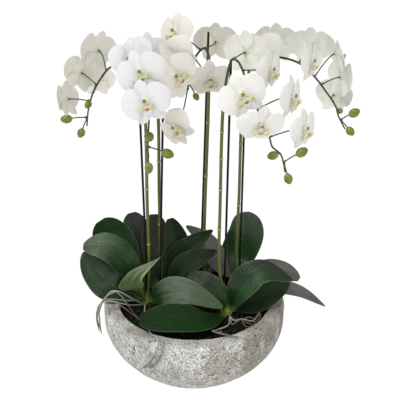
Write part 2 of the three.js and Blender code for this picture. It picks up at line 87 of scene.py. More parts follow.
def barrel(rings, start, end, **layers):
    """A closed skin over a stack of rings that all run round the same way: each ring is joined to
    the next by four-sided faces, and the outermost ones close on the points start and end.
    Layers hold one value or one row of values for every point of the rings."""
    rows, sides = rings.shape[:2]
    ids = np.arange(rows * sides).reshape(rows, sides)
    after = np.roll(ids, -1, axis=1)
    quads = np.stack([ids[:-1], after[:-1], after[1:], ids[1:]], axis=-1)
    low = np.stack([np.full(sides, rows * sides), after[0], ids[0]], axis=-1)
    high = np.stack([np.full(sides, rows * sides + 1), ids[-1], after[-1]], axis=-1)
    made = {
        "points": np.concatenate([rings.reshape(-1, 3), [start, end]]),
        "quads": quads.reshape(-1, 4),
        "triangles": np.concatenate([low, high]),
    }
    for name, values in layers.items():
        values = np.broadcast_to(values, (rows, sides, 3))
        made[name] = np.concatenate([values.reshape(-1, 3), values[0, :1], values[-1, :1]])
    return made


def piece(name, parts, material, nodes):
    """One object from several closed surfaces, given in millimetres. It stands for its CAD nodes,
    and carries the layers tint, a colour, and place, where a point lies on its surface."""
    starts = np.cumsum([0] + [len(part["points"]) for part in parts])
    quads = np.concatenate([part["quads"] + k for part, k in zip(parts, starts)])
    triangles = np.concatenate([
        part.get("triangles", np.empty((0, 3), int)) + k for part, k in zip(parts, starts)
    ])
    points = np.concatenate([part["points"] for part in parts])
    mesh = bpy.data.meshes.new(name)
    mesh.vertices.add(len(points))
    mesh.vertices.foreach_set("co", (points * MM).ravel())
    mesh.loops.add(quads.size + triangles.size)
    mesh.loops.foreach_set("vertex_index", np.concatenate([quads.ravel(), triangles.ravel()]))
    mesh.polygons.add(len(quads) + len(triangles))
    three = quads.size + 3 * np.arange(len(triangles))
    mesh.polygons.foreach_set("loop_start", np.concatenate([4 * np.arange(len(quads)), three]))
    for layer in ("tint", "place"):
        values = np.concatenate([
            np.broadcast_to(part.get(layer, (1, 1, 1)), part["points"].shape) for part in parts
        ])
        attribute = mesh.attributes.new(layer, "FLOAT_VECTOR", "POINT")
        attribute.data.foreach_set("vector", values.astype(float).ravel())
    mesh.update(calc_edges=True)
    mesh.shade_smooth()
    mesh.materials.append(material)
    obj = bpy.data.objects.new(name, mesh)
    bpy.context.collection.objects.link(obj)
    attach(obj, "root")
    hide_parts(*nodes)
    return obj


class Signal:
    """One socket of a material's nodes. Sums, differences and products with another signal or a
    number add Math nodes."""

    def __init__(self, tree, socket=None):
        self.tree = tree
        self.socket = socket

    def node(self, kind, settings, inputs, output=0):
        """Adds a node of that type. Settings are its properties, and inputs are what its sockets
        hold, by name or number: numbers, colours or signals."""
        node = self.tree.nodes.new("ShaderNode" + kind)
        for key, value in settings.items():
            setattr(node, key, value)
        for key, value in inputs.items():
            if isinstance(value, Signal):
                self.tree.links.new(value.socket, node.inputs[key])
            else:
                node.inputs[key].default_value = value
        return Signal(self.tree, node.outputs[output])

    def _math(self, operation, first, second):
        return self.node("Math", {"operation": operation}, {0: first, 1: second})

    def __add__(self, other):
        return self._math("ADD", self, other)

    def __sub__(self, other):
        return self._math("SUBTRACT", self, other)

    def __rsub__(self, other):
        return self._math("SUBTRACT", other, self)

    def __mul__(self, other):
        return self._math("MULTIPLY", self, other)

    def place(self, scale=(1, 1, 1)):
        """Object coordinates, stretched along each axis."""
        spot = self.node("TexCoord", {}, {}, "Object")
        return self.node("Mapping", {}, {"Vector": spot, "Scale": scale})

    def layer(self, name):
        """What one of the mesh's own layers holds."""
        return self.node("Attribute", {"attribute_name": name}, {}, "Vector")

    def cloud(self, scale, vector, detail=3.0, roughness=0.5):
        """Cloudy values around a half, with that many features to the unit."""
        inputs = {"Vector": vector, "Scale": scale, "Detail": detail, "Roughness": roughness}
        return self.node("TexNoise", {}, inputs, "Fac")

    def between(self, low, high):
        """0 below low, 1 above high, and a straight slope from one to the other."""
        inputs = {"Value": self, "From Min": low, "From Max": high}
        return self.node("MapRange", {"clamp": True}, inputs)

    def axis(self, name):
        """The X, Y or Z of this place."""
        return self.node("SeparateXYZ", {}, {0: self}, name)

    def shaded(self, by):
        """This colour times a number."""
        return self.node("VectorMath", {"operation": "SCALE"}, {0: self, "Scale": by})

    def blend(self, first, second):
        """The first colour where this signal is 0, and the second where it is 1."""
        first, second = (c if isinstance(c, Signal) else (*c, 1) for c in (first, second))
        return self.node("Mix", {"data_type": "RGBA"}, {0: self, 6: first, 7: second}, 2)


def finish(name, paint, fixed):
    """A material. paint turns an empty signal into what varies over the surface, by the name of
    its socket, where Height is a relief in metres; fixed holds what is the same all over."""
    material = bpy.data.materials.new(name)
    material.use_nodes = True
    tree = material.node_tree
    shader = tree.nodes["Principled BSDF"]
    for socket, value in fixed.items():
        shader.inputs[socket].default_value = value
    varying = paint(Signal(tree))
    height = varying.pop("Height", None)
    if height:
        varying["Normal"] = height.node("Bump", {}, {"Height": height, "Distance": 1.0})
    for socket, signal in varying.items():
        tree.links.new(signal.socket, shader.inputs[socket])
    return material


def belly(radius, foot, bottom, steps=90):
    """The bowed side from the edge of the floor to where the wall stands straight. For a turn
    from 0 to 90 degrees, the radius grows with sine to a power as the depth falls with cosine."""
    turn = np.linspace(0, math.pi / 2, steps)
    top = BOWL["height"] * BELLY["top"]
    across = foot + (radius - foot) * np.sin(turn) ** BELLY["power"]
    return np.stack([across, top - (top - bottom) * np.cos(turn) ** BELLY["power"]], axis=-1)


def spaced(path, gaps):
    """Points along a path, where gaps lists the spacing to keep up to each length along it."""
    reach = np.concatenate([[0], np.cumsum(np.linalg.norm(np.diff(path, axis=0), axis=1))])
    fine = np.linspace(0, reach[-1], 4000)
    spacing = np.interp(fine, [length for length, _ in gaps], [gap for _, gap in gaps])
    count = np.concatenate([[0], np.cumsum(np.diff(fine) / spacing[1:])])
    marks = np.interp(np.linspace(0, count[-1], int(count[-1])), count, fine)
    return np.stack([np.interp(marks, reach, axis) for axis in path.T], axis=-1)


def revolve(profile, sides):
    """The profile's radius and height turned round the upright axis, as rings of points, and the
    way that the surface faces on each: its slope turned by a right angle."""
    turn = np.linspace(0, 2 * math.pi, sides, endpoint=False)
    round_ = np.stack([np.cos(turn), np.sin(turn), np.zeros(sides)], axis=-1)
    up = np.array([0, 0, 1])
    slope = unit(np.gradient(profile, axis=0))
    rings = profile[:, :1, None] * round_ + profile[:, 1:, None] * up
    facing = slope[:, 1:, None] * round_ - slope[:, :1, None] * up
    return rings, facing


def bowl_rings():
    """The profile runs out under the foot, up the bowed side, over the rim and down the inside.
    It is rounded by averaging neighbours, then moved in and out by clouds of three sizes, sunk
    where a fine cloud passes a limit, for the pits, and worn down a little along the rim."""
    radius, height, foot, wall = (BOWL[k] for k in ("radius", "height", "foot", "wall"))
    inner = belly(radius - wall, foot - wall, BOWL["floor"])[::-1]
    edge = np.array([
        [radius, height - RIM["drop"]], [radius - RIM["outer"], height],
        [radius - wall + RIM["inner"], height], [radius - wall, height - RIM["drop"]],
    ])
    centre = 0.5
    path = np.concatenate([
        [[centre, 0]], belly(radius, foot, 0), edge, inner, [[centre, BOWL["floor"]]],
    ])
    rim_at = np.linalg.norm(np.diff(path[:92], axis=0), axis=1).sum()
    inside = rim_at + wall + 22
    gaps = [
        (0, 12), (55, 5), (75, 2.4), (rim_at - 8, 2.2), (rim_at, 1.4), (inside, 1.6),
        (inside + 20, 6), (inside + 50, 16), (700, 16),
    ]
    profile = spaced(path, gaps)
    profile[1:-1] = 0.25 * profile[:-2] + 0.5 * profile[1:-1] + 0.25 * profile[2:]
    rings, facing = revolve(profile, BOWL["sides"])
    lumps = 0.7 * noise(rings, 62, 3) + 0.35 * noise(rings, 19, 4) + 0.2 * noise(rings, 7, 5)
    pits = smoothstep(noise(rings * [1, 1, 0.6], 5.5, 6), 0.62, 0.9)
    shown = smoothstep(rings[..., 2], 1, 12)
    low = height - RIM["worn"]
    wear = (0.9 * noise(rings, 24, 8) + 0.5 * noise(rings, 8, 9)) * smoothstep(
        rings[..., 2], low, height)
    shift = shown * (lumps - 0.7 - 1.1 * pits)
    rings = rings + facing * shift[..., None]
    rings[..., 2] += np.minimum(wear, 0.3) - 0.3 * smoothstep(rings[..., 2], low, height)
    return rings


def stone(start):
    """Warm grey stone with upright streaks of flaky lime, brown stains low down and to one side,
    dark pits and grit, and a plainer, greyer rim. Towards the right the lime thins and the colour
    is a tenth darker: painted shade."""
    spot = start.place()
    z = spot.axis("Z")
    # side grows towards the right; it adds brown stain there and darkens that side as painted shade.
    side = spot.axis("X").between(0.02, 0.18)
    patch = start.cloud(15, start.place((1, 1, 0.5)), 6, 0.75)
    brown = (patch + side * 0.1 - z * 0.2).between(0.46, 0.56)
    lime = start.cloud(16, start.place((1, 1, 0.3)), 9, 0.75) - side * 0.08
    crust = start.cloud(330, start.place((1, 1, 0.7)), 4, 0.75)
    grain = start.cloud(430, spot, 3, 0.7)
    hole = start.cloud(150, start.place((1, 1, 0.7)), 2, 0.5).between(0.655, 0.7)
    rim = z.between(BOWL["height"] * MM - 0.007, BOWL["height"] * MM - 0.001)
    colour = (brown * 0.75).blend(linear(STONE["body"]), linear(STONE["stain"]))
    flaky = crust.between(0.42, 0.57) * 0.85 + 0.1
    colour = (lime.between(0.42, 0.58) * flaky * (1 - brown * 0.6)).blend(
        colour, linear(STONE["lime"]))
    colour = (crust.between(0.49, 0.36) * 0.85).blend(colour, linear(STONE["pit"]))
    colour = (rim * 0.35).blend(colour, linear(STONE["rim"]))
    colour = (hole * 0.85).blend(colour, linear(STONE["pit"]))
    # The grain's flecks, less a tenth on the right side as painted shade.
    grain_and_painted_shade = (grain - 0.5) * 2.8 + 1.02 - side * 0.1
    relief = grain * 0.0008 + crust * 0.0016 - hole * 0.0012
    return {"Base Color": colour.shaded(grain_and_painted_shade), "Height": relief}


cast_stone = finish("cast_stone", stone, {"Roughness": 0.93, "Specular IOR Level": 0.25})
rings = bowl_rings()
bowl_skin = barrel(rings[1:-1], rings[0].mean(axis=0), rings[-1].mean(axis=0))
piece("bowl_stone", [bowl_skin], cast_stone, ["bowl"])

# The soil: a dark mix of fine bark and moss that fills the bowl to a finger below its rim, with
# loose chips of bark lying on top.
SOIL = {"level": 139, "mound": 4, "edge": 2, "side": 2.2, "fit": 0.35, "hub": 0.6, "sides": 220}
CHIPS = {"count": 620, "length": (5, 15), "width": (4, 8), "thick": (2, 4.5), "reach": 156}
BARK = {"earth": (24, 22, 20), "damp": (12, 12, 11), "chip": (48, 40, 33)}


def soil_level(across):
    """The soil stands highest in the middle and falls in two straight slopes to the wall."""
    reach = BOWL["radius"] - BOWL["wall"] - SOIL["side"]
    level, mound = SOIL["level"], SOIL["mound"]
    heights = [level + mound, level + mound * 0.5, level - SOIL["edge"]]
    return np.interp(across, [0, reach * 0.75, reach], heights)


def soil_rings():
    """Up the bowl's bowed inside from the floor, then inwards over the top, which clouds of three
    sizes make uneven."""
    wall = BOWL["wall"] + SOIL["side"]
    low = BOWL["floor"] + SOIL["fit"]
    flank = belly(BOWL["radius"] - wall, BOWL["foot"] - wall, low, 14)
    reach = flank[-1, 0]
    across = np.linspace(reach, SOIL["hub"], 74)
    top = np.stack([across, soil_level(across)], axis=-1)
    profile = np.concatenate([[[SOIL["hub"], low]], flank, top])
    rings, _ = revolve(profile, SOIL["sides"])
    uneven = 1.3 * noise(rings, 17, 21) + 1.1 * noise(rings, 6, 22) + 0.5 * noise(rings, 3, 23)
    rings[..., 2] += uneven * smoothstep(rings[..., 2], SOIL["level"] - 7, SOIL["level"] - 2)
    return rings


def bark_chips(random):
    """Boxes with each corner pushed off its place by up to a fifth, each turned about the upright
    and tipped a little, and laid on the soil at a random spot."""
    count = CHIPS["count"]
    turn = random.uniform(0, 2 * math.pi, count)
    across = CHIPS["reach"] * np.sqrt(random.uniform(0, 1, count))
    at = np.stack([across * np.cos(turn), across * np.sin(turn), soil_level(across)], axis=-1)
    corners = np.array(list(np.ndindex(2, 2, 2))) - 0.5
    size = [random.uniform(*CHIPS[k], count) for k in ("length", "width", "thick")]
    shifts = random.uniform(-0.2, 0.2, (count, 8, 3))
    points = (corners + shifts) * np.stack(size, axis=-1)[:, None]
    tip = random.uniform(-0.35, 0.35, (count, 1))
    lifted = points[..., 2] + points[..., 0] * tip
    heading = random.uniform(0, math.pi, (count, 1))
    cos, sin = np.cos(heading), np.sin(heading)
    x = points[..., 0] * cos - points[..., 1] * sin
    y = points[..., 0] * sin + points[..., 1] * cos
    points = np.stack([x, y, lifted + 1.0], axis=-1) + at[:, None]
    box = np.array([
        [0, 1, 3, 2], [4, 6, 7, 5], [0, 4, 5, 1], [2, 3, 7, 6], [0, 2, 6, 4], [1, 5, 7, 3],
    ])
    quads = box + 8 * np.arange(count)[:, None, None]
    shade = random.uniform(0.25, 1, (count, 1, 1)) * np.ones((1, 8, 1))
    tint = linear(BARK["damp"]) + shade * (linear(BARK["chip"]) - linear(BARK["damp"]))
    return {"points": points.reshape(-1, 3), "quads": quads.reshape(-1, 4),
            "tint": tint.reshape(-1, 3)}


def bark_mix(start):
    """Dark earth and chips, each darkened by a fine grain."""
    grain = start.cloud(300, start.place(), 4, 0.6)
    dark = grain.between(0.35, 0.65) * 0.9 + 0.35
    return {"Base Color": start.layer("tint").shaded(dark), "Height": grain * 0.0014}


loose_mix = finish("bark_mix", bark_mix, {"Roughness": 0.95, "Specular IOR Level": 0.2})
rings = soil_rings()
earth = barrel(rings[1:-1], rings[0].mean(axis=0), rings[-1].mean(axis=0),
               tint=linear(BARK["earth"]))
chips = bark_chips(np.random.default_rng(5))
piece("soil_mix", [earth, chips], loose_mix, ["soil"])

# The stakes: five thin straight rods of dark green plastic pushed into the soil, one beside each
# flower stem, with rounded tops.
STAKE = {"radius": 2.2, "foot": 100, "sides": 24}
ROD = {"dark": (10, 12, 12), "worn": (24, 28, 26)}
STAKES = {
    "left": [(-95, 26, 0), (-99, 25, 515)],
    "front": [(-76, 13, 0), (-57, 24, 519)],
    "back": [(8, 110, 0), (27, 106, 661)],
    "right": [(58, 0, 0), (65, -4, 628)],
    "far": [(95, 93, 0), (98, 96, 512)],
}


def hoops(centres, radii, sides):
    """Rings square to a path: across each point, one axis is the path's flattest direction made
    square to it, and the other is square to both."""
    along = unit(np.gradient(centres, axis=0))
    flat = np.linalg.svd(centres - centres.mean(axis=0), full_matrices=True)[2][2]
    side = unit(flat - along * (along @ flat)[:, None])
    up = np.cross(along, side)
    turn = np.linspace(0, 2 * math.pi, sides, endpoint=False)[:, None]
    radii = np.broadcast_to(radii, len(centres))[:, None, None]
    reach = np.cos(turn) * side[:, None] + np.sin(turn) * up[:, None]
    return centres[:, None] + radii * reach


def stake_rod(low, high):
    """A straight rod from the soil to its top, whose last radius is a half round."""
    low, high = np.array(low, float), np.array(high, float)
    slope = (high - low) / (high[2] - low[2])
    foot = low + slope * STAKE["foot"]
    dome = np.radians([0, 25, 50, 70, 85])
    radius = STAKE["radius"]
    heights = np.concatenate([
        np.linspace(STAKE["foot"], high[2] - radius, 60), high[2] - radius + radius * np.sin(dome),
    ])
    radii = np.concatenate([np.full(60, radius), radius * np.cos(dome)])
    centres = low + slope * heights[:, None]
    return barrel(hoops(centres, radii, STAKE["sides"]), foot, high)


def dark_rod(start):
    """Nearly black green, a little lighter where it has been handled."""
    worn = start.cloud(60, start.place((1, 1, 0.2)), 3).between(0.4, 0.7)
    return {"Base Color": (worn * 0.5).blend(linear(ROD["dark"]), linear(ROD["worn"]))}


rod_plastic = finish("rod_plastic", dark_rod, {"Roughness": 0.45, "Specular IOR Level": 0.2})
for name, (low, high) in STAKES.items():
    piece(f"stake_rod_{name}", [stake_rod(low, high)], rod_plastic, [f"stake_{name}"])

# The flower stems: each plant's green part, grown in one piece. A pale crown in the soil, a
# jointed stem, an arching spray, a thin stalk to the back of each bloom, and green buds.
STEM = {"radius": 3.1, "joint": 3.9, "bell": 2.6, "spray": 2.2, "tip": 1.4, "sides": 16,
        "gap": 1.8}
CROWN = {"foot": 118, "shoulder": 148, "top": 164, "radius": 9}
STALK = {"radius": 1.15, "sides": 10, "behind": 16, "steps": 18}
BUD = {"stretch": 1.15, "sides": 30, "rings": 22}
HUB = {"radius": 3.6, "back": 4, "claw": 1.7}
GREENS = {
    "stem": (88, 100, 38), "joint": (190, 178, 96), "crown": (108, 134, 58),
    "spray": (54, 68, 34), "stalk": (62, 74, 42), "bud": (112, 122, 44), "bract": (66, 70, 36),
}
# Where the stem and the spray run, the heights of the joints, each bud's place and size, and
# each bloom's place, the way it looks round and up, its roll and its size.
PLANTS = {
    "left": {
        "crown": (-95, 2),
        "stem": [(-92, 10, 175), (-90, 14, 219), (-90, 15, 358), (-89, 18, 520), (-95, 22, 583)],
        "spray": [
            (-104, 28, 604), (-120, 35, 613), (-151, 46, 606), (-169, 52, 587), (-188, 56, 556),
            (-199, 58, 523), (-204, 60, 492),
        ],
        "joints": [265, 380, 470],
        "buds": [(-197, 50, 536, 7), (-239, 50, 508, 9), (-216, 62, 478, 8)],
        "blooms": [
            (-178, 82, 630, -135, 10, 12, 1), (-212, 83, 588, -140, 0, 25, 0.94),
            (-236, 54, 545, -108, -10, 10, 0.92), (-192, 140, 564, 180, 0, 0, 0.85),
        ],
    },
    "front": {
        "crown": (-66, 33),
        "stem": [(-67, 33, 175), (-68, 33, 351), (-66, 32, 520), (-69, 26, 596)],
        "spray": [
            (-73, 14, 632), (-73, -10, 637), (-70, -34, 618), (-70, -54, 585), (-75, -66, 539),
            (-78, -74, 492), (-77, -76, 472),
        ],
        "joints": [300, 430],
        "buds": [(-75, -80, 511, 9), (-45, -76, 480, 9), (-77, -80, 456, 8)],
        "blooms": [
            (-104, 3, 631, -35, 10, 30, 0.98), (-106, -44, 634, -10, 5, 4, 0.9),
            (-85, -76, 618, -6, 5, 24, 1), (-76, -102, 575, -8, 5, 20, 1),
            (-84, 46, 634, 5, 0, 0, 0.88),
        ],
    },
    "back": {
        "crown": (16, 92),
        "stem": [(18, 92, 175), (19, 92, 210), (22, 92, 328), (28, 90, 543), (28, 86, 612)],
        "spray": [(25, 80, 628), (18, 70, 636), (4, 50, 625), (-7, 30, 600), (-10, 16, 570)],
        "joints": [260, 380, 490],
        "buds": [(4, 10, 560, 6)],
        "blooms": [
            (-33, 70, 664, -45, 15, 10, 0.98), (-31, -6, 632, -8, 0, 54, 0.93),
            (-29, -34, 604, 15, 5, 48, 1), (-30, -20, 512, -35, -15, 50, 0.95),
            (41, 126, 640, 180, 10, 0, 1), (29, 44, 585, 10, -18, 4, 0.96),
        ],
    },
    "right": {
        "crown": (64, -42),
        "stem": [(56, -28, 180), (49, -15, 230), (49, -14, 370), (52, -12, 541)],
        "spray": [
            (58, -14, 600), (66, -20, 630), (76, -36, 629), (90, -56, 599), (106, -68, 559),
            (124, -74, 527), (130, -78, 506), (134, -82, 494), (148, -86, 482), (154, -86, 466),
            (157, -88, 450),
        ],
        "joints": [200, 310, 390, 450, 500],
        "buds": [(136, -84, 479, 8), (184, -82, 484, 9), (163, -88, 439, 8)],
        "blooms": [
            (91, 10, 638, 150, 0, 0, 1), (81, -88, 583, 8, 5, 27, 1),
            (110, -110, 540, 10, -25, -5, 0.96), (130, -26, 613, 55, 0, 0, 0.95),
            (167, -40, 570, 60, 0, 0, 1), (190, -50, 516, 50, 0, 0, 0.95),
        ],
    },
    "far": {
        "crown": (86, 78),
        "stem": [(87, 80, 175), (87, 84, 220), (90, 84, 331), (92, 82, 512), (98, 78, 576)],
        "spray": [
            (117, 72, 616), (153, 64, 621), (191, 56, 612), (219, 52, 590), (242, 50, 563),
            (265, 50, 531), (270, 50, 516), (285, 50, 489),
        ],
        "joints": [320, 450],
        "buds": [(298, 44, 521, 9), (275, 60, 521, 6), (294, 46, 486, 8)],
        "blooms": [
            (121, 46, 632, 0, -10, 30, 1), (152, 84, 644, 165, 10, 0, 1),
            (220, 106, 634, 160, 10, 0, 1), (205, 16, 620, 62, 0, 0, 0.95),
            (258, 56, 629, 100, 20, 0, 0.95), (274, 70, 583, 110, 0, 0, 1),
            (272, 108, 541, 140, 0, 0, 0.95),
        ],
    },
}


def curve(points, t):
    """A centripetal Catmull-Rom curve: between two of its points it is the cubic that leaves each
    with the slope of its neighbours, weighed by the square roots of their distances. Gives the
    places and the slopes for t from 0 to 1."""
    points = np.asarray(points, float)
    ends = [2 * points[0] - points[1]], [2 * points[-1] - points[-2]]
    points = np.concatenate([ends[0], points, ends[1]])
    spans = len(points) - 3
    k = np.clip(np.floor(t * spans).astype(int), 0, spans - 1)
    w = (t * spans - k)[..., None]
    a, b, c, d = (points[k + step] for step in range(4))
    before, here, beyond = (
        np.linalg.norm(q - p, axis=-1, keepdims=True) ** 0.5 for p, q in ((a, b), (b, c), (c, d))
    )
    leave = here * ((b - a) / before - (c - a) / (before + here) + (c - b) / here)
    arrive = here * ((c - b) / here - (d - b) / (here + beyond) + (d - c) / beyond)
    bend = 3 * (c - b) - 2 * leave - arrive
    close = 2 * (b - c) + leave + arrive
    place = b + w * (leave + w * (bend + w * close))
    slope = leave + w * (2 * bend + 3 * w * close)
    return place, unit(slope)


def walk(points):
    """The curve through some points as a fine path, and the length along it at each of its
    points."""
    path, _ = curve(points, np.linspace(0, 1, 3000))
    lengths = np.linalg.norm(np.diff(path, axis=0), axis=1)
    return path, np.concatenate([[0], np.cumsum(lengths)])


def along(path, reach, lengths):
    """The places on a path at given lengths along it."""
    return np.stack([np.interp(lengths, reach, axis) for axis in path.T], axis=-1)


def bloom_axes(side, rise, roll):
    """The axes of a bloom that looks round by side and up by rise from the front, rolled about
    the way it looks: across it, up it and out of it."""
    s, r, turn = np.radians([side, rise, roll])
    look = np.array([math.sin(s) * math.cos(r), -math.cos(s) * math.cos(r), math.sin(r)])
    right = unit(np.cross([0, 0, 1], look))
    up = np.cross(look, right)
    cos, sin = math.cos(turn), math.sin(turn)
    return np.array([right * cos + up * sin, up * cos - right * sin, look])


def thin_stalk(start, by, end):
    """A stalk along the quadratic curve (1-t)^2 start + 2t(1-t) by + t^2 end, a little thicker
    where it leaves the stem and just behind the bloom."""
    t = np.linspace(0, 1, STALK["steps"])[:, None]
    centres = (1 - t) ** 2 * start + 2 * t * (1 - t) * by + t * t * end
    swell = 1 + 0.35 * np.exp(-((t[:, 0] / 0.1) ** 2)) + 0.3 * smoothstep(t[:, 0], 0.75, 1)
    shade = smoothstep(t, 0, 0.8)
    tint = linear(GREENS["spray"]) * (1 - shade) + linear(GREENS["stalk"]) * shade
    rings = hoops(centres, STALK["radius"] * swell, STALK["sides"])
    return barrel(rings, centres[0], centres[-1], tint=tint[:, None])


def bud(centre, root, size, random):
    """A round body drawn out along its stalk and pointed at its far end, with three shallow seams
    where its outer leaves meet: the ring's radius is size times the sine of its turn, less a
    twentieth of it three times round."""
    forward = unit(centre - root)
    side = unit(np.cross(forward, [0.3, -0.9, 0.2]))
    up = np.cross(forward, side)
    polar = np.linspace(0, math.pi, BUD["rings"])[1:-1, None, None]
    turn = np.linspace(0, 2 * math.pi, BUD["sides"], endpoint=False)[None, :, None]
    seam = 1 - 0.05 * np.exp(-(((turn + random.uniform(0, 6)) * 3 / math.pi % 2 - 1) / 0.18) ** 2)
    wide = size * np.sin(polar) * seam * (1 - 0.07 * np.cos(polar * 0.5))
    stretch = size * BUD["stretch"]
    ahead = stretch * (-np.cos(polar) + 0.16 * smoothstep(-np.cos(polar), 0.7, 1))
    rings = centre + ahead * forward + wide * (np.cos(turn) * side + np.sin(turn) * up)
    pale = smoothstep(np.cos(polar), -0.2, 1) + 0 * turn
    tint = linear(GREENS["bud"]) * (1 + 0.5 * pale * [1, 0.9, 1.2])
    return barrel(rings, centre - stretch * forward, centre + 1.17 * stretch * forward, tint=tint)


def bract(root, away):
    """A small pointed scale on the stem under a stalk: a cone that leans with the stalk."""
    lean = unit(unit(away - root) + [0, 0, 0.6])
    t = np.array([0, 0.35, 0.7, 1])[:, None]
    centres = root + lean * 6.0 * t
    return barrel(hoops(centres, 2.3 * (1.02 - t[:, 0]) + 0.1, 8), root, centres[-1] + lean * 0.3,
                  tint=linear(GREENS["bract"]))


def flower_stem(plant, random):
    """The main stem is a tube whose radius falls from the crown to the spray's tip, with a
    swelling at each joint shaped as a bell curve; stalks and buds leave the spray where it
    passes nearest to them."""
    x, y = plant["crown"]
    low = [(x, y, CROWN["foot"]), (x, y, CROWN["shoulder"])]
    path, reach = walk(low + plant["stem"] + plant["spray"])
    total = reach[-1]

    def height_at(height):
        return reach[np.argmax(path[:, 2] >= height)]

    spray = height_at(plant["spray"][0][2])
    lengths = np.linspace(0, total, int(total / STEM["gap"]))
    stops = [0, height_at(CROWN["shoulder"]), height_at(CROWN["top"]),
             height_at(plant["stem"][-1][2]), spray + 0.06 * (total - spray), total]
    radii = [CROWN["radius"], CROWN["radius"], STEM["radius"], STEM["radius"], STEM["spray"],
             STEM["tip"]]
    radius = np.interp(lengths, stops, radii)
    colours = linear([GREENS[k] for k in ("crown", "crown", "stem", "stem", "spray", "spray")])
    tint = np.stack([np.interp(lengths, stops, axis) for axis in colours.T], axis=-1)
    for height in plant["joints"]:
        away = (lengths - height_at(height)) / STEM["bell"]
        radius += (STEM["joint"] - STEM["radius"]) * np.exp(-away ** 2)
        pale = np.exp(-(away * 2.2) ** 2)[:, None]
        tint = tint * (1 - pale) + linear(GREENS["joint"]) * pale
    centres = along(path, reach, lengths)
    rings = hoops(centres, radius, STEM["sides"])
    parts = [barrel(rings, centres[0], centres[-1], tint=tint[:, None])]
    steps = len(plant["spray"]) + 4
    nodes = along(path, reach, spray + (total - spray) * np.arange(1, steps) / steps)

    def nearest(place):
        return nodes[np.argmin(np.linalg.norm(nodes - place, axis=1))]

    for *place, side, rise, roll, size in plant["blooms"]:
        look = bloom_axes(side, rise, roll)[2]
        behind = place - look * STALK["behind"] * size
        root = nearest(behind)
        parts += [thin_stalk(root, behind, place - look * HUB["back"] * size), bract(root, behind)]
    for *place, size in plant["buds"]:
        root = nearest(place)
        by = (root + place) / 2 + [0, 0, 3]
        parts += [thin_stalk(root, by, np.array(place)), bract(root, by)]
        parts.append(bud(np.array(place, float), root, size, random))
    return parts


def green_stem(start):
    """The layer's green, faintly mottled and streaked along the upright."""
    streak = start.cloud(220, start.place((1, 1, 0.12)), 3).between(0.3, 0.7)
    colour = start.layer("tint").shaded(streak * 0.35 + 0.82)
    return {"Base Color": colour, "Height": streak * 0.00025}


stem_skin = finish("stem_skin", green_stem, {"Roughness": 0.26, "Specular IOR Level": 0.4})
stem_parts = {}
for number, (name, plant) in enumerate(PLANTS.items()):
    stem_parts[name] = flower_stem(plant, np.random.default_rng(40 + number))

# The leaves: strap leaves that clasp the crowns, thick and waxy, with a groove down the middle, a
# paler underside and a bright green base; the back plant's two low ones belong to its stem.
LEAF = {"half": 33, "root": 0.12, "clasp": 13, "thick": 1.8, "edge": 0.7, "rows": 72,
        "columns": 27}
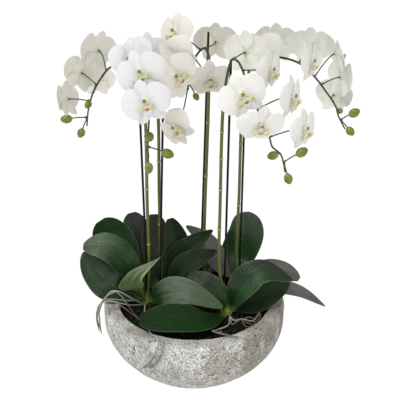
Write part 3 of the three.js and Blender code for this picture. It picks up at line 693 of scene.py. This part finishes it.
# A leaf has its middle line, the way it faces at the root and the tip, its width against the
# usual one, how far its halves fold up, how blunt it is, and any ways of its own.
LEAVES = {
    "left_1": ([(-102.5, 10, 153), (-145, 42, 224), (-168, 53, 262), (-190, 60, 296)],
               (0.3, -0.9, 0.3), (0.2, -0.9, 0.4), 1.22, 0.15, 2.4),
    "left_2": ([(-106, 6, 160), (-137, 8, 231), (-174, 0, 267), (-216, -2, 268)],
               (0.3, -0.7, 0.6), (-0.1, -0.4, 0.9), 0.97, 0.15, 2),
    "left_3": ([(-106, -1, 152), (-161, -14, 183), (-189, -8, 215), (-212, 6, 256)],
               (0.3, -0.7, 0.6), (0.4, -0.8, 0.3), 1, 0.2, 2.2),
    "left_4": ([(-101, -8, 154), (-107, -18, 184), (-109, -15, 202), (-65, -6, 248)],
               (0, -1, 0.1), (-0.2, -0.9, 0.4), 0.62, 0.3, 1,
               {"widest": 0.54, "halves": (1.95, 0.6), "point": 1.3, "stalk": 6}),
    "left_5": ([(-89, -8, 152), (-61, -28, 178), (-16, -44, 192), (56, -60, 166)],
               (0, -0.8, 0.6), (0, -0.75, 0.65), 0.9, 0.15, 1.4, {"point": 0.75}),
    "front_1": ([(-79, 37, 147), (-112, 99, 211), (-122, 108, 251), (-132, 114, 291)],
                (0.1, -0.95, 0.2), (0, -0.95, 0.2), 0.95, 0.1, 2.4),
    "front_2": ([(-66, 44, 159), (-77, 64, 211), (-81, 80, 252), (-83, 94, 296)],
                (0, -0.95, 0.2), (0, -0.9, 0.3), 0.92, 0.1, 2.4),
    "front_3": ([(-59.5, 42.5, 153), (-35, 46, 206), (-34, 58, 247), (-50, 72, 296)],
                (-0.4, -0.85, 0.2), (-0.2, -0.95, 0.2), 0.9, 0.25, 1.5, {"stalk": 1.6}),
    "front_4": ([(-55, 34, 156), (-38, 35, 206), (-9, 37, 248), (37, 50, 280)],
                (-0.4, -0.8, 0.4), (-0.2, -0.8, 0.5), 0.84, 0.3, 1.3, {"point": 0.8}),
    "front_5": ([(-57.5, 26, 152), (-28, 8, 212), (5, 8, 236), (45, 10, 253)],
                (-0.4, -0.8, 0.4), (-0.2, -0.8, 0.5), 0.72, 0.3, 1.3, {"point": 0.75}),
    "right_1": ([(61, -54, 146), (22, -99, 163), (-33, -114, 176), (-100, -126, 178)],
                (0, -0.35, 0.9), (0, -0.35, 0.9), 0.98, 0.15, 2.2,
                {"widest": 0.62, "stalk": 1.3}),
    "right_2": ([(72, -50.5, 154), (87, -62, 208), (126, -60, 244), (189, -46, 218)],
                (-0.4, -0.7, 0.5), (-0.1, -0.6, 0.8), 0.88, 0.35, 1.3, {"point": 0.8}),
    "right_3": ([(75.5, -44, 151), (112, -44, 166), (150, -28, 181), (186, -8, 196)],
                (0, -0.5, 0.8), (0.2, -0.6, 0.8), 0.75, 0.2, 1.6),
    "right_4": ([(53, -45.5, 152), (47, -44, 178), (26, -30, 200), (-12, -12, 211)],
                (-0.2, -0.85, 0.4), (0, -0.8, 0.6), 0.75, 0.15, 1.6),
    "far_1": ([(78, 88.5, 150), (89, 127, 176), (110, 133, 236), (104, 136, 283)],
              (0, -0.95, 0.2), (0, -0.9, 0.3), 1.2, 0.1, 2.6),
    "far_2": ([(96.5, 83, 153), (141, 79, 176), (183, 64, 182), (217, 49, 168)],
              (0, -0.4, 0.9), (0.2, -0.4, 0.9), 0.75, 0.15, 2),
    "far_3": ([(94, 70, 152), (156, 32, 164), (216, 18, 156), (266, 8, 129)],
              (0, -0.3, 0.9), (0.3, -0.3, 0.9), 0.62, 0.15, 1.3, {"point": 0.8}),
    "far_4": ([(77, 84, 154), (52, 93, 182), (28, 135, 213), (-19, 150, 245)],
              (0.3, -0.6, 0.7), (0.2, -0.7, 0.7), 0.72, 0.15, 1.4, {"point": 0.7}),
}
BACK_LEAVES = [
    ([(12, 93.5, 147), (-26, 106, 166), (-56, 138, 176), (-82, 182, 160)],
     (0.2, -0.3, 0.9), (0, 0.2, 0.95), 0.85, 0.15, 1.8),
    ([(20, 96, 148), (35, 124, 166), (44, 162, 176), (50, 204, 156)],
     (-0.2, -0.3, 0.9), (0.1, 0.2, 0.95), 0.8, 0.15, 1.8),
]
# The sheen and grey tones are painted sheen: the grey of gloss from the light, put into the leaf's
# own colour.
LEAF_TONES = {
    "green": (24, 56, 20), "young": (74, 96, 42), "grey": (98, 99, 95), "brown": (44, 48, 38),
    "dark": (26, 42, 20), "base": (104, 136, 62), "painted_sheen": (74, 92, 68), "deep": (20, 50, 16),
    "sage": (132, 142, 116), "black": (16, 28, 14), "bright": (34, 67, 30), "dusk": (60, 64, 58),
    "margin": (128, 146, 98),
}
# Each leaf's green at the root and at the tip, and where along it the one turns into the other; a
# turn into the sheen or grey tone is painted sheen.
LEAF_KINDS = {
    "left_1": ("deep", "deep", 0, 1), "left_2": ("green", "painted_sheen", 0.35, 0.8),
    "left_3": ("green", "painted_sheen", 0.3, 1.5), "left_4": ("young", "sage", 0.6, 0.85),
    "left_5": ("deep", "painted_sheen", 0.2, 0.5), "front_1": ("brown", "dusk", 0.2, 0.8),
    "front_2": ("brown", "brown", 0, 1), "front_3": ("black", "dark", 0.2, 1),
    "front_4": ("dark", "dark", 0, 1), "front_5": ("dark", "dark", 0, 1),
    "right_1": ("deep", "deep", 0, 1), "right_2": ("bright", "dark", 0.6, 0.95),
    "right_3": ("black", "dark", 0, 1), "right_4": ("green", "dark", 0.2, 0.9),
    "far_1": ("bright", "painted_sheen", 0.4, 1.2), "far_2": ("brown", "grey", 0.1, 0.5),
    "far_3": ("grey", "grey", 0, 1), "far_4": ("grey", "grey", 0, 1),
}
# Painted light and shade: how much the two halves of a leaf are lightened or darkened from the
# tones, where the light falls on them more or less; and the leaves whose skin is dull.
PAINTED_HALF_LIGHT = {"right_2": (1.02, 0.5), "right_3": (1.6, 1.6), "left_2": (1.2, 0.95),
          "left_3": (0.75, 0.95), "left_4": (1.35, 0.8), "front_3": (0.8, 1.6)}
MATT = ("left_1", "front_1", "front_2", "front_3", "front_4", "front_5", "right_1", "right_3",
        "far_2", "far_4")


def blade(middle, thickness, **layers):
    """A thin closed leaf about a grid of points: the grid is moved half the thickness either way
    along its own normals, and its edge is closed all round."""
    face = unit(np.cross(np.gradient(middle, axis=0), np.gradient(middle, axis=1)))
    half = np.broadcast_to(thickness, middle.shape[:2])[..., None] / 2
    rows, columns = middle.shape[:2]
    ids = np.arange(rows * columns).reshape(rows, columns)
    front = np.stack([ids[:-1, :-1], ids[1:, :-1], ids[1:, 1:], ids[:-1, 1:]], axis=-1)
    front = front.reshape(-1, 4)
    edge = np.concatenate([ids[:, 0], ids[-1, 1:], ids[-2::-1, -1], ids[0, -2:0:-1]])
    after = np.roll(edge, -1)
    count = rows * columns
    rim = np.stack([edge, edge + count, after + count, after], axis=-1)
    made = {
        "points": np.concatenate([(middle + face * half).reshape(-1, 3),
                                  (middle - face * half).reshape(-1, 3)]),
        "quads": np.concatenate([front, front[:, ::-1] + count, rim]),
    }
    for name, (upper, lower) in layers.items():
        made[name] = np.concatenate([
            np.broadcast_to(side, middle.shape).reshape(-1, 3) for side in (upper, lower)
        ])
    return made


def strap_leaf(shape, kind, bright, random):
    """The middle line is a curve; across it, the half width grows as a quarter sine from the root
    to the widest place and then falls off as the root of 1 - s^blunt. The halves rise from the
    midrib by the fold, and the edge waves a little. The green turns along the leaf in streaks,
    on some leaves into a painted sheen, and bright is what the tone of each half is multiplied
    by: painted light and shade."""
    points, root_face, tip_face, breadth, fold, blunt, *own = shape
    own = {"widest": 0.5, "halves": (1, 1), "point": 0.5, "stalk": 1, **(own[0] if own else {})}
    widest, halves = own["widest"], own["halves"]
    inner = LEAF["clasp"] / np.linalg.norm(np.subtract(points[0], points[-1]))
    t = np.linspace(0, 1, LEAF["rows"])
    t = (-inner + (1 + inner) * (0.7 * t + 0.3 * np.sin(t * math.pi / 2)))[:, None]
    v = np.sin(np.linspace(-1, 1, LEAF["columns"]) * math.pi / 2)[None]
    inside = np.clip(t, 0, 0.997)
    place, slope = curve(points, inside[:, 0])
    place = place + slope * np.minimum(t, 0) / inner * LEAF["clasp"]
    face_to = np.array(root_face) * (1 - inside) + np.array(tip_face) * inside
    over = unit(np.cross(slope, face_to))
    face = np.cross(over, slope)
    past = np.maximum(inside - widest, 0) / (1.01 - widest)
    taper = np.maximum(1 - past ** blunt, 0) ** own["point"]
    opening = np.sin(math.pi / 2 * np.minimum(inside / widest, 1)) ** own["stalk"]
    swell = LEAF["root"] + (1 - LEAF["root"]) * opening
    wide = LEAF["half"] * breadth * taper * swell
    phase = random.uniform(0, 6)
    wave = 0.035 * wide * v ** 4 * np.sin(9 * inside + phase + 1.5 * v)
    groove = -0.9 * np.exp(-(v * wide / 2.2) ** 2) * swell
    rise = wide * fold * np.abs(v) * (1 - 0.6 * inside) * np.sqrt(v * v + 0.02) / (np.abs(v) + 0.14)
    reach = -v * wide * np.where(v > 0, halves[0], halves[1])
    middle = (place[:, None] + over[:, None] * reach[..., None]
              + face[:, None] * (rise + wave + groove)[..., None])
    thick = LEAF["edge"] + (LEAF["thick"] - LEAF["edge"]) * (1 - v ** 4) * np.ones_like(t)
    base = smoothstep(t, 0.1, -0.04)[..., None]
    low, high, begin, end = kind
    grid = np.stack([t * 1.3 + 0 * v, v * 5 + 0 * t, 0 * t * v + phase], axis=-1)
    streak = 0.12 * noise(grid, 1, 71) + 0.06 * noise(grid * [1.6, 3, 1], 1, 72)
    # Where a leaf turns into the sheen or grey tone, this streaked turning paints sheen on it.
    turning = smoothstep(t + streak, begin, end)[..., None]
    tone = linear(LEAF_TONES[low]) * (1 - turning) + linear(LEAF_TONES[high]) * turning
    # bright lightens or darkens each half: painted light and shade.
    tone = tone * (bright[0] + (bright[1] - bright[0]) * smoothstep(v, -0.08, 0.08))[..., None]
    top = tone * (1 - base) + linear(LEAF_TONES["base"]) * base
    under = tone * 1.35 + [0.012, 0.016, 0.01]
    under = under * (1 - base) + linear(LEAF_TONES["base"]) * base
    spot = np.stack([inside + 0 * v, v + 0 * inside, (wide / LEAF["half"]) + 0 * v], axis=-1)
    return blade(middle, thick, tint=(top, under), place=(spot, spot))


def waxy(start):
    """The leaf's own green, cloudy and finely veined lengthwise, with a paler line along the edge
    and a darker one along the midrib. Dust dulls it in patches."""
    spot = start.layer("place")
    cloud = start.cloud(22, start.place(), 4, 0.6)
    veins = start.cloud(1, start.node("Mapping", {}, {"Vector": spot, "Scale": (3, 30, 0)}), 3)
    aside = start.node("Math", {"operation": "ABSOLUTE"}, {0: spot.axis("Y")})
    edge = aside.between(0.955, 0.985)
    rib = 1 - aside.between(0.0, 0.05)
    shade = (cloud - 0.5) * 0.9 + (veins - 0.5) * 1.1 + 1 - rib * 0.25
    colour = (edge * 0.28).blend(start.layer("tint").shaded(shade), linear(LEAF_TONES["margin"]))
    dust = start.cloud(45, start.place(), 4, 0.7).between(0.4, 0.7)
    return {"Base Color": colour, "Roughness": dust * 0.16 + 0.18,
            "Height": veins * 0.0011 + cloud * 0.0016}


leaf_wax = finish("leaf_wax", waxy, {"Specular IOR Level": 0.42})
leaf_matt = finish("leaf_matt", waxy, {"Specular IOR Level": 0.15})
for number, (name, shape) in enumerate(LEAVES.items()):
    kind = LEAF_KINDS[name]
    # Each half's painted light and shade.
    made = strap_leaf(shape, kind, PAINTED_HALF_LIGHT.get(name, (1, 1)), np.random.default_rng(80 + number))
    skin = leaf_matt if name in MATT else leaf_wax
    piece(f"leaf_blade_{name}", [made], skin, [f"leaf_{name}"])
for number, shape in enumerate(BACK_LEAVES):
    made = strap_leaf(shape, ("green", "green", 0, 1), (1, 1), np.random.default_rng(110 + number))
    stem_parts["back"].append(made)
for name, parts in stem_parts.items():
    piece(f"green_stem_{name}", parts, stem_skin, [f"flower_stem_{name}"])

# The blooms: three slim sepals behind two broad petals, soft and a little see-through, with a
# lip whose side wings stand up beside the white column and its round green cap.
PETAL = {"length": 40, "half": 25.5, "above": 10, "rows": 27, "columns": 21}
SEPAL = {"length": 35, "half": 13, "spread": 34, "rows": 22, "columns": 13}
WIDE = {"fullness": 0.95, "blunt": 0.58, "neck": (-0.18, 0.3), "lift": 2.6, "arch": 4, "fall": 5,
        "cup": -2, "groove": 1.1}
SLIM = {"fullness": 0.9, "blunt": 0.6, "neck": (-0.12, 0.4), "lift": -1.5, "arch": 1.5, "fall": 2.5,
        "cup": 1.2, "groove": 0.4}
LIP = {"length": 21.5, "rise": 10, "wing": 11, "tongue": 4}
COLUMN = {"length": 9.5, "lean": 3, "radius": 3.1}
BLOOM = {"thick": 0.9, "edge": 0.45}
# Each plant's petal white, lighter or darker and warmer or cooler for how the light falls on its
# blooms: painted light and shade.
WHITES_WITH_PAINTED_LIGHT = {
    "front": (236, 236, 237), "back": (238, 233, 225), "left": (244, 240, 231),
    "right": (248, 246, 240), "far": (243, 241, 235),
}
HEART = {"wing": (206, 206, 126), "callus": (200, 172, 116), "cap": (134, 144, 58),
         "throat": (228, 228, 196), "fleck": (150, 88, 60)}


def tepal(degrees, size, shape, white, random):
    """A petal or sepal leaves the hub at its angle: its half width is a sine of the length to a
    power, narrowed to a claw at the root; it arches as a sine, falls back as a square, and is
    cupped across, with a soft groove along its middle and an uneven edge."""
    u = np.sin(np.linspace(0.0, 1, size["rows"]) * math.pi / 2)[:, None] * 1.02 - 0.02
    v = np.sin(np.linspace(-1, 1, size["columns"]) * math.pi / 2)[None]
    swell = np.sin(math.pi * np.clip(u, 0.001, 0.999) ** shape["fullness"]) ** shape["blunt"]
    share = smoothstep(u, *shape["neck"])
    wide = HUB["claw"] * (1 - share) + size["half"] * swell * share
    phase = random.uniform(0, 6, 3)
    vary = random.uniform(0.92, 1.08, 3)
    wavy = 0.9 * swell * v * v * np.sin(4.2 * u + phase[0] + 1.3 * v)
    lobe = 1 + 0.03 * np.sin(3 * u * math.pi + phase[1]) * np.abs(v)
    x = HUB["radius"] + size["length"] * u - 0.6 * (v * v) * swell
    y = wide * v * lobe
    z = (shape["lift"] * smoothstep(u, 0, 0.25) + vary[0] * shape["arch"] * np.sin(math.pi * u)
         - vary[1] * shape["fall"] * u * u + vary[2] * shape["cup"] * v * v * swell + wavy
         - shape["groove"] * swell * np.exp(-(y / 2.6) ** 2) * (1 - u))
    turn = math.radians(degrees + random.uniform(-1.5, 1.5))
    cos, sin = math.cos(turn), math.sin(turn)
    middle = np.stack([x * cos - y * sin, x * sin + y * cos, z + 0 * x], axis=-1)
    thick = BLOOM["edge"] + (BLOOM["thick"] - BLOOM["edge"]) * (1 - v ** 4) + 0 * u
    root = smoothstep(u, 0.16, 0.0)[..., None] * 0.75
    tint = white * (1 - root) + linear(HEART["throat"]) * root + 0 * v[..., None]
    spot = np.stack([u + 0 * v, y / 26, 0 * u + 0 * v], axis=-1)
    return blade(middle, thick, tint=(tint, tint * [0.97, 0.98, 0.95]), place=(spot, spot))


def bloom_lip(white):
    """One sheet that hangs from the column's foot and rises forward as a sine of its length. Two
    round wings swell from it as a bell curve and curl up, above a pointed tongue."""
    u = np.linspace(0, 1, 30)[:, None]
    v = -np.sin(np.linspace(-1, 1, 19) * math.pi / 2)[None]
    wings = LIP["wing"] * np.exp(-(((u - 0.43) / 0.17) ** 2))
    tongue = LIP["tongue"] * np.maximum(0, np.sin(2 * math.pi * (u - 0.5)))
    wide = 1.5 + wings + tongue - 1.2 * smoothstep(u, 0.85, 1)
    curl = np.abs(v) ** 2.2
    middle = np.stack([
        v * wide * (1 - 0.1 * curl * wings / LIP["wing"]),
        -1.5 - LIP["length"] * u + curl * wings * 0.2 + 0 * v,
        1.5 + LIP["rise"] * np.sin(2.5 * u) + curl * wings * 0.5
        - 1.2 * smoothstep(u, 0.4, 0.6) * v * v,
    ], axis=-1)
    yellow = (np.abs(v) ** 1.4 * wings / LIP["wing"])[..., None]
    red = (np.exp(-(((u - 0.42) / 0.15) ** 2)) * np.exp(-((v / 0.3) ** 2)))[..., None] * 0.6
    tint = white * (1 - yellow) + linear(HEART["wing"]) * yellow
    tint = tint * (1 - red) + linear(HEART["callus"]) * red
    return blade(middle, 0.8, tint=(tint, tint * 0.96))


def whisker(turn, white):
    """One of the two thin threads at the tongue's tip, which curl out and back."""
    t = np.linspace(0, 1, 12)[:, None]
    x = turn * (0.4 + 5.5 * np.sin(t * 2.2))
    y = -22.4 - 2 * np.sin(t * 3.0) + 4 * t
    z = 7.6 + 4.5 * t - 2 * t * t
    centres = np.concatenate([x, y, z], axis=1)
    return barrel(hoops(centres, 0.7 - 0.4 * t[:, 0], 6), centres[0], centres[-1], tint=white)


def lump(centre, radii, colour, lean=0.0, sides=18, rings=12):
    """A rounded knob: a ball stretched along its three axes and tipped about the first."""
    polar = np.linspace(0, math.pi, rings)[1:-1, None]
    turn = np.linspace(0, 2 * math.pi, sides, endpoint=False)[None]
    ball = np.stack([
        np.sin(polar) * np.cos(turn), np.sin(polar) * np.sin(turn), -np.cos(polar) + 0 * turn,
    ], axis=-1) * radii
    cos, sin = math.cos(lean), math.sin(lean)
    tip = np.array([[1, 0, 0], [0, cos, sin], [0, -sin, cos]])
    pole = np.array([0, 0, radii[2]])
    return barrel(ball @ tip + centre, centre - pole @ tip, centre + pole @ tip, tint=linear(colour))


def bloom_heart(white):
    """The column leans over the lip and ends in the round cap; the orange callus sits on the lip
    under it between two yellow-green lobes, each mottled by a cloud, and a low pad closes the
    middle of the bloom."""
    heights = np.array([-HUB["back"], -1, 2, 5, 7.5, COLUMN["length"]])
    lean = smoothstep(heights, -1, 9)
    centres = np.stack([0 * heights, lean * COLUMN["lean"], heights], axis=-1)
    radii = COLUMN["radius"] * np.array([0.5, 1.0, 0.95, 0.85, 0.95, 1.0])
    green = smoothstep(heights, 0, -3)[:, None, None]
    tint = white * (1 - green) + linear(GREENS["stalk"]) * green
    column = barrel(hoops(centres, radii, 18), centres[0], centres[-1], tint=tint)
    cap = lump(np.array([0, 3.2, 9.8]), np.array([3.5, 3.4, 2.3]), HEART["cap"], 0.25)
    callus = lump(np.array([0, -10.2, 11.2]), np.array([4.4, 3.6, 2.2]), HEART["callus"], 0.5)
    throat = lump(np.array([0, -0.6, 0.4]), np.array([6.2, 6.2, 1.5]), HEART["throat"])
    lobes = [
        lump(np.array([side * 9.8, -9.4, 12.6]), np.array([4.6, 6.2, 2.0]), HEART["wing"], 0.5)
        for side in (-1, 1)
    ]
    for number, knob in enumerate([callus, *lobes]):
        spread = (noise(knob["points"], 1.7, 90 + number) * 1.8)[:, None].clip(0, 1)
        knob["tint"] = knob["tint"] * (1 - spread) + (
            linear(HEART["fleck"]) if number == 0 else white) * spread
    return [column, cap, callus, throat, *lobes]


def bloom(plant, place, random):
    """All the parts of a bloom, in its own axes, turned and moved to its place."""
    # The plant's white carries painted light and shade.
    white = linear(WHITES_WITH_PAINTED_LIGHT[plant]) * random.uniform(0.97, 1.0)
    pair = (PETAL["above"], 180 - PETAL["above"])
    petals = [tepal(a, PETAL, WIDE, white, random) for a in pair]
    fan = (90, 270 - SEPAL["spread"], 270 + SEPAL["spread"])
    sepals = [tepal(a, SEPAL, SLIM, white, random) for a in fan]
    parts = petals + sepals + [bloom_lip(white)] + bloom_heart(white)
    parts += [whisker(turn, white) for turn in (-1, 1)]
    *centre, side, rise, roll, size = place
    axes = bloom_axes(side, rise, roll)
    for part in parts:
        part["points"] = part["points"] * size @ axes + centre
    return parts


def soft_white(start):
    """The layer's white with very faint veins along each petal."""
    spot = start.layer("place")
    veins = start.cloud(1, start.node("Mapping", {}, {"Vector": spot, "Scale": (3, 22, 1)}), 3)
    colour = start.layer("tint").shaded((veins - 0.5) * 0.08 + 0.98)
    return {"Base Color": colour, "Height": veins * 0.0006}


petal_skin = finish("petal_skin", soft_white, {
    "Roughness": 0.55, "Specular IOR Level": 0.3, "Subsurface Weight": 0.25,
    "Subsurface Radius": (1, 0.95, 0.9), "Subsurface Scale": 0.003,
})
for number, (name, plant) in enumerate(PLANTS.items()):
    for k, place in enumerate(plant["blooms"], 1):
        parts = bloom(name, place, np.random.default_rng(200 + 10 * number + k))
        piece(f"white_bloom_{name}_{k}", parts, petal_skin, [f"bloom_{name}_{k}"])

# The roots: bare cords as thick as string, silvery with brownish tips, that wander from two of the
# crowns over the soil and hang over the rim, with thin threads beside them.
ROOT = {"radius": 1.35, "thread": 0.62, "sides": 10, "gap": 1.6}
ROOTS = {
    "left": [
        [(-99, -11, 144), (-116, -32, 166), (-130, -46, 185), (-144, -52, 197), (-158, -52, 197),
         (-173, -50, 178), (-186, -46, 160), (-191, -44, 134), (-188, -42, 101)],
        [(-99, -11, 144), (-128, -46, 164), (-158, -56, 178), (-173, -56, 176), (-183, -54, 160),
         (-184, -51, 132), (-184, -49, 110), (-182, -48, 99)],
        [(-99, -11, 144), (-96, -50, 146), (-85, -110, 156), (-76, -148, 164), (-66, -165, 169),
         (-62, -173, 156), (-71, -169, 131), (-82, -164, 110), (-96, -154, 95)],
    ],
    "right": [
        [(69, -55, 144), (76, -74, 147), (92, -88, 158), (110, -94, 158), (124, -78, 166),
         (124, -82, 158), (114, -88, 149)],
        [(69, -55, 144), (64, -90, 146), (42, -112, 150), (34, -128, 158), (52, -143, 161),
         (82, -151, 160)],
    ],
}
THREADS = {
    "left": [
        [(-150, -52, 197), (-138, -52, 185), (-124, -58, 165), (-110, -66, 150),
         (-104, -72, 144)],
        [(-160, -54, 179), (-140, -56, 168), (-122, -62, 156), (-108, -70, 148),
         (-102, -76, 144)],
        [(-150, -52, 197), (-170, -55, 186), (-184, -50, 160), (-188, -48, 130),
         (-185, -46, 108)],
        [(-76, -148, 163), (-62, -163, 168), (-54, -172, 156), (-60, -171, 130),
         (-72, -165, 110), (-86, -157, 98)],
        [(-116, -32, 166), (-134, -50, 176), (-152, -56, 182), (-170, -54, 180),
         (-184, -48, 150), (-186, -45, 124)],
    ],
    "right": [
        [(71, -60, 145), (72, -92, 149), (80, -90, 154), (90, -86, 156), (98, -92, 153),
         (104, -98, 155), (110, -114, 159)],
        [(92, -86, 155), (102, -78, 156), (112, -80, 155), (113, -92, 154), (110, -113, 160)],
        [(90, -86, 156), (94, -98, 151), (98, -106, 153), (106, -114, 159)],
        [(52, -120, 152), (40, -124, 152), (50, -136, 159), (66, -146, 160), (76, -152, 160)],
    ],
}
ROOT_TONES = {"skin": (160, 160, 150), "tip": (104, 102, 86)}


def root_cord(points, share, random):
    """A tube along the curve whose radius clouds make a seventh thicker or thinner, narrowing to
    a blunt brownish tip; share is its thickness against the usual one."""
    path, reach = walk(points)
    lengths = np.linspace(0, reach[-1], int(reach[-1] / ROOT["gap"]))
    centres = along(path, reach, lengths)
    left = reach[-1] - lengths
    radius = share * ROOT["radius"] * (1 + 0.14 * noise(centres, 9, int(random.integers(1000))))
    radius *= 0.45 + 0.55 * smoothstep(left, 0, 14)
    brown = smoothstep(left, 90, 20)[:, None, None]
    tint = linear(ROOT_TONES["skin"]) * (1 - brown) + linear(ROOT_TONES["tip"]) * brown
    return barrel(hoops(centres, radius, ROOT["sides"]), centres[0], centres[-1], tint=tint)


def root_skin(start):
    """The layer's silvery grey, cloudy."""
    cloud = start.cloud(160, start.place(), 4, 0.6)
    colour = start.layer("tint").shaded((cloud - 0.5) * 0.9 + 1)
    return {"Base Color": colour, "Height": cloud * 0.0008}


silver_root = finish("silver_root", root_skin, {"Roughness": 0.8, "Specular IOR Level": 0.3})
for number, (name, strands) in enumerate(ROOTS.items()):
    random = np.random.default_rng(400 + number)
    cords = [root_cord(points, 1, random) for points in strands]
    cords += [root_cord(points, ROOT["thread"], random) for points in THREADS[name]]
    piece(f"root_cords_{name}", cords, silver_root, [f"roots_{name}"])

# The stage: a wide white floor under soft light from all round, with a broad soft lamp high to the
# viewer's left, and a weak narrow one low to the right, which draws the gloss on the leaves.
FLOOR = {"half": 60, "colour": (40, 40, 40), "glow": 1.02}
LAMPS = {
    "high_left": {"toward": (0.5, 0.42, -1.0), "spread": 34, "strength": 1.85},
    "low_right": {"toward": (-0.48, 0.81, -0.34), "spread": 16, "strength": 0.38},
}
VIEWER = {"at": (0.0112, -1.1418, 0.8163), "down": 21.6, "lens": 58.5, "sensor": 36}
SKY = 0.45

half = FLOOR["half"]
floor_mesh = bpy.data.meshes.new("floor")
floor_mesh.from_pydata(
    [(-half, -half, 0), (half, -half, 0), (half, half, 0), (-half, half, 0)], [], [(0, 1, 2, 3)]
)
floor = bpy.data.objects.new("floor", floor_mesh)
bpy.context.collection.objects.link(floor)
floor_mesh.materials.append(finish("pale_floor", lambda start: {}, {
    "Base Color": (*linear(FLOOR["colour"]), 1), "Roughness": 1.0, "Specular IOR Level": 0.0,
    "Emission Color": (1, 1, 1, 1), "Emission Strength": FLOOR["glow"],
}))

world = bpy.data.worlds.new("soft_sky")
bpy.context.scene.world = world
world.use_nodes = True
world.node_tree.nodes["Background"].inputs["Color"].default_value = (1, 1, 1, 1)
world.node_tree.nodes["Background"].inputs["Strength"].default_value = SKY
for name, lamp in LAMPS.items():
    light = bpy.data.lights.new(name, "SUN")
    light.energy = lamp["strength"]
    light.angle = math.radians(lamp["spread"])
    sun = bpy.data.objects.new(name, light)
    toward = unit(np.array(lamp["toward"]))
    sun.rotation_euler = (math.acos(-toward[2]), 0, math.atan2(toward[1], toward[0]) - math.pi / 2)
    bpy.context.collection.objects.link(sun)

camera = bpy.data.cameras.new("viewer")
camera.lens = VIEWER["lens"]
camera.sensor_width = VIEWER["sensor"]
eye = bpy.data.objects.new("viewer", camera)
eye.location = VIEWER["at"]
eye.rotation_euler = (math.radians(90 - VIEWER["down"]), 0, 0)
bpy.context.collection.objects.link(eye)
bpy.context.scene.camera = eye
bpy.context.scene.view_settings.view_transform = "Standard"
